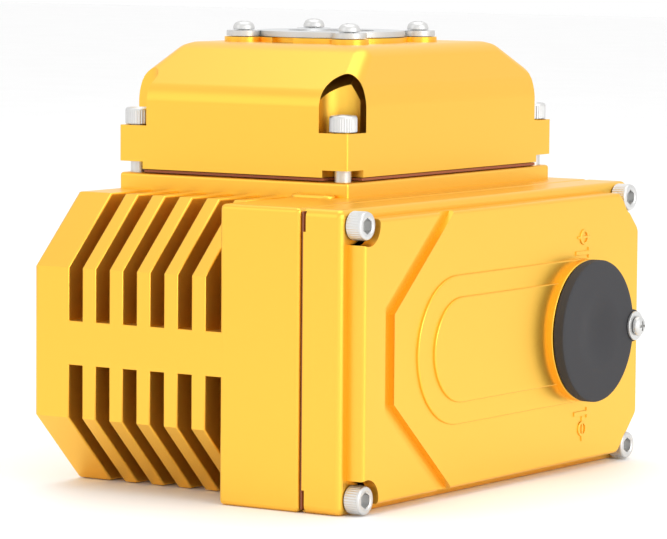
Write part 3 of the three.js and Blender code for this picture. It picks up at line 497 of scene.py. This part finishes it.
def cover_shell():
    """The side cover: a cup with a raised face, its boss and its steps."""
    skirt = prism("x", [(0, 0), (DEPTH, 0), (DEPTH, HEIGHT), (0, HEIGHT)], COVER_LOW.x, SHOULDER, 2.2, 0.5, 4, corners=3.0)
    cut_size = RAISED["cut"]
    y0, y1, z0, z1 = RAISED["front"], RAISED["back"], RAISED["bottom"], RAISED["top"]
    face = [(y0, z0), (y1 - cut_size, z0), (y1, z0 + cut_size), (y1, z1 - cut_size), (y1 - cut_size, z1), (y0, z1)]
    raised = prism("x", face, SHOULDER - 2, FACE, 1.3, 0, 4, corners=1.5)
    steps = [
        stadium("x", 64, CAP_CENTRE[0], MIDDLE, 26.3, FACE - 1, FACE + 0.8, 0.5),
        stadium("x", 66, CAP_CENTRE[0], MIDDLE, 18.6, FACE - 1, FACE + 1.6, 0.5),
        rod("x", *CAP_CENTRE, CAP_RADIUS, FACE - 1, FACE + 3.6, 96, 0.5),
        rod("x", CAP_CENTRE[0] + PIVOT, CAP_CENTRE[1], 5.6, FACE - 1, FACE + 3.6, 32, 0.4),
        *marks(),
    ]
    pockets = [rod("x", y, z, 7, SHOULDER, FACE + 1) for y, z in COVER_SCREWS[:2]]
    pockets += [rod("x", y, z, 6, SHOULDER, FACE + 1) for y, z in COVER_SCREWS[2:]]
    notches = [block((0, -1, z), (COVER_LOW.x + 1.3, 3, z + 7)) for z in (HEIGHT - 8, 1)]
    cuts = [octagon_groove(), *pockets, *notches, chamber(0, 19)]
    cuts += [rod("x", *CAP_CENTRE, 9, 18, FACE + 5), rod("x", CAP_CENTRE[0] + PIVOT, CAP_CENTRE[1], 2.3, 20, FACE + 5, 32)]
    cuts += [rod("x", y, z, 3.3, 0, FACE, 32) for y, z in COVER_SCREWS]
    return cut(fuse(skirt, raised, *steps), *cuts)


# ---- top cover ----
def hipped(shrink, floor, drop, rounding=True):
    """A block whose four sides lean in above the crease."""
    low, high = Vector((UPPER_LOW.x + shrink, UPPER_LOW.y + shrink)), Vector((UPPER_HIGH.x - shrink, UPPER_HIGH.y - shrink))
    eaves, roof = CREASE - drop / 2, ROOF - drop
    bm = block((low.x, low.y, floor), (high.x, high.y, eaves))
    top = [f for f in bm.faces if f.normal.z > 0.5]
    lifted = bmesh.ops.extrude_face_region(bm, geom=top)["geom"]
    bmesh.ops.delete(bm, geom=top, context="FACES_ONLY")
    middle = (low + high) / 2
    for v in (v for v in lifted if isinstance(v, bmesh.types.BMVert)):
        v.co.x -= math.copysign(LEAN[0], v.co.x - middle.x)
        v.co.y -= math.copysign(LEAN[1], v.co.y - middle.y)
        v.co.z = roof
    bmesh.ops.recalc_face_normals(bm, faces=bm.faces[:])
    if rounding:
        upper = [e for e in bm.edges if min(v.co.z for v in e.verts) > eaves - 1]
        upright = [e for e in bm.edges if abs(e.verts[0].co.z - e.verts[1].co.z) > 10 and min(v.co.z for v in e.verts) < floor + 1]
        bevel(bm, upper + upright, 4.5, 6)
    return bm


def corner_pocket(x, y, radius, start, end):
    """The space over a corner screw, open to the two outer faces."""
    out_x = UPPER_LOW.x - 5 if x < AXIS[0] else UPPER_HIGH.x + 5
    out_y = UPPER_LOW.y - 5 if y < AXIS[1] else UPPER_HIGH.y + 5
    sweep = [
        block((min(x, out_x), y - radius, start), (max(x, out_x), y + radius, end)),
        block((x - radius, min(y, out_y), start), (x + radius, max(y, out_y), end)),
    ]
    return fuse(rod("z", x, y, radius, start, end), *sweep)


def lobed(round_radius, lobe_radius, start, end, far=0.0):
    """A disc with a round lobe at each window screw."""
    half = WINDOW_SPACING / 2
    lobes = [rod("z", AXIS[0] + dx, AXIS[1] + dy, lobe_radius, start, end, 48) for dx in (-half, half) for dy in (-half, half)]
    bm = fuse(rod("z", *AXIS, round_radius, start, end, 96), *lobes)
    bmesh.ops.dissolve_limit(bm, angle_limit=math.radians(0.5), verts=bm.verts[:], edges=bm.edges[:])
    return soften(bm, "z", end, far) if far else bm


def top_shell():
    """The hipped top cover with its window boss and corner pockets."""
    low = UPPER_LOW.z
    boss = lobed(28.2, 7.1, ROOF - 2, UPPER_HIGH.z, 0.5)
    hollow = hipped(4.5, low - 1, 4.5, False)
    hollow = cut(hollow, *[corner_pocket(x, y, POCKET + 3, LEDGE - 4.5, ROOF) for x, y in upper_screws()])
    hollow = cut(hollow, *[corner_pocket(x, y, 6, low - 2, LEDGE) for x, y in upper_screws()])
    cuts = [hollow]
    for x, y in upper_screws():
        corner_x = UPPER_LOW.x if x < AXIS[0] else UPPER_HIGH.x
        corner_y = UPPER_LOW.y if y < AXIS[1] else UPPER_HIGH.y
        cuts.append(corner_pocket(x, y, POCKET, LEDGE, ROOF + 1))
        cuts.append(rod("z", x, y, 3.3, low - 1, LEDGE + 1, 32))
        cuts.append(block((corner_x - 10.5, corner_y - 10.5, low - 1), (corner_x + 10.5, corner_y + 10.5, low + 2.6)))
    cuts += [rod("z", *AXIS, 17, ROOF - 9, ROOF + 4), rod("z", *AXIS, 21, ROOF - 1.3, ROOF + 4)]
    cuts.append(block((AXIS[0] - 8, AXIS[1] - 31, ROOF), (AXIS[0] + 2, AXIS[1] - 24, ROOF + 4)))
    skirt = [(UPPER_LOW.x, UPPER_LOW.y), (UPPER_HIGH.x, UPPER_LOW.y), (UPPER_HIGH.x, UPPER_HIGH.y), (UPPER_LOW.x, UPPER_HIGH.y)]
    bm = cut(fuse(hipped(0, low, 0), boss, prism("z", skirt, low, LEDGE, corners=1.0)), *cuts)
    return bm


# ---- screws ----
def knurl(bm, radius, low, high, depth=0.28):
    """Pulls every other column of a head's rim in, and marks it as a groove, where the steel material paints shade."""
    groove = bm.verts.layers.float.new("groove")
    for v in bm.verts:
        reach = math.hypot(v.co.x, v.co.y)
        if abs(reach - radius) < 1e-3 and low - 1e-3 <= v.co.z <= high + 1e-3:
            column = round(math.atan2(v.co.y, v.co.x) / TAU * KNURLS * 2)
            if column % 2:
                v.co.x *= 1 - depth / radius
                v.co.y *= 1 - depth / radius
                # Painted shade: this mark darkens the steel's base colour in the groove.
                v[groove] = 1.0


def socket_screw(length):
    """A socket cap screw with a knurled head, its seat at the origin."""
    sizes = bpy.context.scene.actuator_sizes
    head, height = sizes.screw_head / 2 / MM, sizes.screw_height / MM
    shank, socket, grip = 3.0, 2.9, height - 1.0
    profile = [
        (0, -length), (shank - 0.5, -length), (shank, 0.6 - length), (shank, 0), (head - 0.35, 0), (head - 0.1, 0.2), (head, 0.5),
        (head, grip), (head - 0.1, grip + 0.15), (head - 0.15, grip + 0.5), (head - 0.4, grip + 0.85), (head - 0.8, height),
        (socket + 0.5, height), (socket + 0.1, height - 0.3), (0, height - 0.3),
    ]
    bm = cut(turned("z", 0, 0, profile, KNURLS * 2), rod("z", 0, 0, socket, height * 0.45, height + 1, 6))
    knurl(bm, head, 0.5, grip)
    return bm


def pan_screw(length, head=4.0, height=3.1, shank=2.0):
    """A domed cross-recess screw, its seat at the origin."""
    dome = [(head * math.cos(t) ** 0.62, 0.5 + (height - 0.5) * math.sin(t)) for t in (TAU / 4 * k / 9 for k in range(9))]
    bm = turned("z", 0, 0, [(0, -length), (shank, -length), (shank, 0), (head - 0.2, 0), (head, 0.2), *dome, (0, height)], 48)
    arm, half = head * 0.5, 0.45
    bars = [block((-arm, -half, height * 0.42), (arm, half, height + 1)), block((-half, -arm, height * 0.42), (half, arm, height + 1))]
    return cut(bm, *bars)


def set_down(bm, axis, a, b, seat):
    """A copy of a part turned to an axis and set at its place."""
    copy = bm.copy()
    copy.transform(Matrix.Translation({"x": (seat, a, b), "z": (a, b, seat)}[axis]) @ facing(axis))
    return copy


# ---- cap ----
def cap_shell():
    """The rubber cap with its dished face and its ear."""
    under, face = CAP_LOW.x, CAP_HIGH.x
    dish = bpy.context.scene.actuator_sizes.cap_dish / MM
    flat = CAP_RADIUS - 10.5
    bowl = [(CAP_RADIUS - 3, face - 0.1), (flat + 1, face - 0.1)]
    bowl += [(flat * (1 - k / 14), face - 0.1 - dish * 0.5 * (1 - math.cos(math.pi * k / 14))) for k in range(15)]
    rim = [(0, under), (CAP_RADIUS - 0.5, under), (CAP_RADIUS, under + 0.4), (CAP_RADIUS, face - 0.7), (CAP_RADIUS - 0.2, face - 0.25), (CAP_RADIUS - 0.7, face)]
    disc = turned("x", *CAP_CENTRE, rim + bowl, 128)
    ear = rod("x", CAP_CENTRE[0] + PIVOT, CAP_CENTRE[1], 6.0, under, face - 0.05, 48, 0.5)
    hole = rod("x", CAP_CENTRE[0] + PIVOT, CAP_CENTRE[1], 2.3, under - 1, face + 1, 32)
    return cut(fuse(disc, ear), hole)


# ---- cable glands ----
def gland_shell(x, z, face):
    """A cable gland: a chamfered hexagon under a domed, ribbed nut."""
    dome, length, bore = GLAND["dome"], GLAND["length"], GLAND["bore"]
    profile = [(0, face - 9), (GLAND["thread"], face - 9), (GLAND["thread"], face + 1), (dome, face + 1), (dome, face + length - 5)]
    profile += [(dome - 0.8, face + length - 3), (dome - 2.2, face + length - 1.2), (dome - 3.5, face + length), (0, face + length)]
    body = turned("y", z, x, profile, 48)
    nut = rod("y", z, x, GLAND["hex"], face, face + 6, 6)
    bevel(nut, nut.edges[:], 0.7, 2)
    ribs = [rod("y", z + (dome + 0.25) * math.cos(t), x + (dome + 0.25) * math.sin(t), 0.6, face + 7, face + length - 4, 8) for t in (TAU * k / 12 for k in range(12))]
    return cut(fuse(body, nut), rod("y", z, x, bore, face - 10, face + length + 1, 32), *ribs)


# ---- operators ----
class SizeSettings(bpy.types.PropertyGroup):
    """Sizes a user may change."""

    screw_head: bpy.props.FloatProperty(
        name="Screw head", description="Diameter of the socket screws' heads", default=0.010, min=0.008, max=0.011, unit="LENGTH")
    screw_height: bpy.props.FloatProperty(
        name="Head height", description="Height of the socket screws' heads", default=0.006, min=0.004, max=0.007, unit="LENGTH")
    cap_dish: bpy.props.FloatProperty(
        name="Cap dish", description="Depth of the hollow in the rubber cap", default=0.0026, min=0.0, max=0.003, unit="LENGTH")
    crease: bpy.props.FloatProperty(
        name="Crease angle", description="Edges sharper than this stay sharp", default=math.radians(35), min=0.1, max=1.5, unit="ROTATION")


class ColourSettings(bpy.types.PropertyGroup):
    """Colours a user may change."""

    paint: bpy.props.FloatVectorProperty(
        name="Paint", description="Colour of the powder coat", default=(0.97, 0.50, 0.018), min=0.0, max=1.0, subtype="COLOR")
    rubber: bpy.props.FloatVectorProperty(
        name="Rubber", description="Colour of the cap", default=(0.055, 0.055, 0.06), min=0.0, max=1.0, subtype="COLOR")


def painted(name, bm, node):
    """A powder-coated casting in place of its CAD node."""
    piece(name, bm, material("yellow_paint"), replaces=[node])
    return {"FINISHED"}


class HousingOperator(bpy.types.Operator):
    """Builds the finned main housing"""

    bl_idname = "actuator.housing"
    bl_label = "Main housing"

    def execute(self, context):
        return painted("housing_shell", housing_shell(), "main_housing")


class SideCoverOperator(bpy.types.Operator):
    """Builds the side cover with its groove, steps and raised marks"""

    bl_idname = "actuator.side_cover"
    bl_label = "Side cover"

    def execute(self, context):
        return painted("side_cover_shell", cover_shell(), "side_cover")


class TopCoverOperator(bpy.types.Operator):
    """Builds the hipped top cover with its screw pockets"""

    bl_idname = "actuator.top_cover"
    bl_label = "Top cover"

    def execute(self, context):
        return painted("top_cover_shell", top_shell(), "top_cover")


class ScrewsOperator(bpy.types.Operator):
    """Builds the screws of the covers, the window and the cap"""

    bl_idname = "actuator.screws"
    bl_label = "Screws"

    def execute(self, context):
        steel = material("bright_steel")
        places = [(f"side_cover_screw_{k}", "x", y, z, SHOULDER + 0.3) for k, (y, z) in enumerate(COVER_SCREWS, 1)]
        places += [(f"top_cover_screw_{k}", "z", x, y, LEDGE + 0.3) for k, (x, y) in enumerate(upper_screws(), 1)]
        master = socket_screw(26)
        for node, axis, a, b, seat in places:
            piece(node + "_fine", set_down(master, axis, a, b, seat), steel, replaces=[node])
        master = pan_screw(7)
        for k in range(1, 5):
            node = f"window_screw_{k}"
            low, high = node_box(node)
            screw = set_down(master, "z", (low.x + high.x) / 2, (low.y + high.y) / 2, high.z - 3.1)
            piece(node + "_fine", screw, steel, replaces=[node])
        seat = node_box("cap_screw")[1].x - 2.4
        screw = set_down(pan_screw(11, 3.6, 2.4), "x", CAP_CENTRE[0] + PIVOT, CAP_CENTRE[1], seat)
        piece("cap_screw_fine", screw, steel, replaces=["cap_screw"])
        return {"FINISHED"}


class CapOperator(bpy.types.Operator):
    """Builds the rubber cap and its washer"""

    bl_idname = "actuator.cap"
    bl_label = "Rubber cap"

    def execute(self, context):
        piece("rubber_cap_fine", cap_shell(), material("black_rubber"), body="cap", replaces=["rubber_cap"])
        low, high = node_box("cap_washer")
        spot = (CAP_CENTRE[0] + PIVOT, CAP_CENTRE[1])
        washer = cut(rod("x", *spot, 5.4, low.x, high.x, 64, 0.2), rod("x", *spot, 2.3, low.x - 1, high.x + 1, 32))
        piece("cap_washer_fine", washer, material("bright_steel"), replaces=["cap_washer"])
        return {"FINISHED"}


class WindowOperator(bpy.types.Operator):
    """Builds the window's plate and glass"""

    bl_idname = "actuator.window"
    bl_label = "Window"

    def execute(self, context):
        plate = cut(lobed(27.5, 6.4, PLATE_LOW.z, PLATE_HIGH.z, 0.3), rod("z", *AXIS, 16, PLATE_LOW.z - 1, PLATE_HIGH.z + 1, 96))
        piece("window_plate_fine", plate, material("window_steel"), replaces=["window_plate"])
        low, high = node_box("window_glass")
        glass = rod("z", *AXIS, 20.7, low.z, high.z, 96, 0.3)
        piece("window_glass_fine", glass, material("clear_glass"), replaces=["window_glass"])
        return {"FINISHED"}


class PointerOperator(bpy.types.Operator):
    """Builds the pointer on the indicator disc, seen through the window"""

    bl_idname = "actuator.pointer"
    bl_label = "Pointer"

    def execute(self, context):
        top = node_box("indicator_disc")[1].z
        arrow = [(-2.2, -13), (2.2, -13), (2.2, 6), (5.5, 6), (0, 14), (-5.5, 6), (-2.2, 6)]
        pointer = prism("z", [(AXIS[0] + a, AXIS[1] + b) for a, b in arrow], top - 0.2, top + 0.5, 0.15, segments=2)
        piece("pointer", pointer, material("red_plastic"), body="output")
        return {"FINISHED"}


class GlandsOperator(bpy.types.Operator):
    """Builds the cable glands on the back"""

    bl_idname = "actuator.glands"
    bl_label = "Cable glands"

    def execute(self, context):
        for k in (1, 2):
            low, high = node_box(f"cable_gland_{k}")
            shell = gland_shell((low.x + high.x) / 2, (low.z + high.z) / 2, high.y - GLAND["length"])
            piece(f"cable_gland_{k}_fine", shell, material("black_plastic"), replaces=[f"cable_gland_{k}"])
        return {"FINISHED"}


class FinishOperator(bpy.types.Operator):
    """Gives each remaining CAD piece its finish"""

    bl_idname = "actuator.finishes"
    bl_label = "Finishes"

    def execute(self, context):
        slots = {entry["node"]: entry["material_slot"] for entry in frame["record"]["subparts"]}
        for name, node in frame["nodes"].items():
            finish = material(slots[name])
            for index in range(len(node.material_slots)):
                node.material_slots[index].link = "OBJECT"
                node.material_slots[index].material = finish
        return {"FINISHED"}


class StageOperator(bpy.types.Operator):
    """Builds the floor, the lights and the camera"""

    bl_idname = "actuator.stage"
    bl_label = "Stage"

    def execute(self, context):
        build_floor()
        build_lights()
        build_camera()
        return {"FINISHED"}


# ---- stage ----
CAMERA = {"azimuth": 33.42, "elevation": 5.01, "roll": 0.44, "lens": 218.71, "distance": 1373.6, "right": -11.45, "up": 20.83}


def build_floor():
    mesh = bpy.data.meshes.new("floor")
    bm = bmesh.new()
    bmesh.ops.create_grid(bm, x_segments=1, y_segments=1, size=6.0)
    bm.to_mesh(mesh)
    bm.free()
    floor = bpy.data.objects.new("floor", mesh)
    context = bpy.context
    context.scene.collection.objects.link(floor)
    finish = surface("floor_white", (0.97, 0.97, 0.97), 0.0, 0.6, 400.0, 12.0, 0.02, 0.01, 0.03)
    mesh.materials.append(finish)


def area_light(name, place, aim, size, power, color=(1, 1, 1)):
    """A soft square lamp that faces a point."""
    lamp = bpy.data.lights.new(name, "AREA")
    lamp.shape = "RECTANGLE"
    lamp.size, lamp.size_y = size
    lamp.energy = power
    lamp.color = color
    made = bpy.data.objects.new(name, lamp)
    made.location = place
    made.rotation_euler = (Vector(aim) - Vector(place)).to_track_quat("-Z", "Y").to_euler()
    bpy.context.scene.collection.objects.link(made)


def build_lights():
    world = bpy.data.worlds.new("studio")
    world.use_nodes = True
    background = world.node_tree.nodes["Background"]
    background.inputs["Color"].default_value = (1, 1, 1, 1)
    background.inputs["Strength"].default_value = 1.0
    bpy.context.scene.world = world
    aim = (0, 0, 0.08)
    area_light("front_left", (-0.9, -1.5, 0.9), aim, (0.9, 1.2), 2.2)
    area_light("front", (0.8, -1.4, 0.6), aim, (0.9, 0.9), 1.2)
    area_light("right_side", (1.7, -0.3, 0.7), aim, (1.2, 1.0), 12)
    area_light("overhead", (-0.1, 0.2, 1.7), aim, (1.4, 1.4), 8)


def build_camera():
    azimuth, elevation, roll = (math.radians(CAMERA[key]) for key in ("azimuth", "elevation", "roll"))
    back = Vector((math.sin(azimuth) * math.cos(elevation), -math.cos(azimuth) * math.cos(elevation), math.sin(elevation)))
    level = Vector((math.cos(azimuth), math.sin(azimuth), 0))
    rise = back.cross(level)
    right = level * math.cos(roll) + rise * math.sin(roll)
    up = rise * math.cos(roll) - level * math.sin(roll)
    corner = CORNER + Vector((0, 0, HEIGHT * MM))
    place = corner + (back * CAMERA["distance"] - right * CAMERA["right"] - up * CAMERA["up"]) * MM
    data = bpy.data.cameras.new("camera")
    data.sensor_width = 36.0
    data.lens = CAMERA["lens"]
    camera = bpy.data.objects.new("camera", data)
    turn = Matrix((right, up, back)).transposed().to_4x4()
    camera.matrix_world = Matrix.Translation(place) @ turn
    bpy.context.scene.collection.objects.link(camera)
    bpy.context.scene.camera = camera
    bpy.context.scene.view_settings.view_transform = "Standard"


class ActuatorPanel(bpy.types.Panel):
    """Buttons for each group of pieces"""

    bl_idname = "ACTUATOR_PT_pieces"
    bl_label = "Actuator"
    bl_space_type = "VIEW_3D"
    bl_region_type = "UI"
    bl_category = "Actuator"

    def draw(self, context):
        for group in (context.scene.actuator_sizes, context.scene.actuator_colours):
            for label in group.bl_rna.properties.keys():
                if label not in ("rna_type", "name"):
                    self.layout.prop(group, label)
        for operator in OPERATORS:
            self.layout.operator(operator.bl_idname)


OPERATORS = (
    HousingOperator, SideCoverOperator, TopCoverOperator, ScrewsOperator, CapOperator, WindowOperator, PointerOperator,
    GlandsOperator, FinishOperator, StageOperator,
)
CLASSES = (SizeSettings, ColourSettings, *OPERATORS, ActuatorPanel)


def register():
    for made in CLASSES:
        bpy.utils.register_class(made)
    bpy.types.Scene.actuator_sizes = bpy.props.PointerProperty(type=SizeSettings)
    bpy.types.Scene.actuator_colours = bpy.props.PointerProperty(type=ColourSettings)


def unregister():
    del bpy.types.Scene.actuator_sizes
    del bpy.types.Scene.actuator_colours
    for made in reversed(CLASSES):
        bpy.utils.unregister_class(made)


def main():
    register()
    for operator in OPERATORS:
        group, call = operator.bl_idname.split(".")
        if getattr(getattr(bpy.ops, group), call)() != {"FINISHED"}:
            raise RuntimeError(operator.bl_label + " didn't finish")


if __name__ == "__main__":
    main()
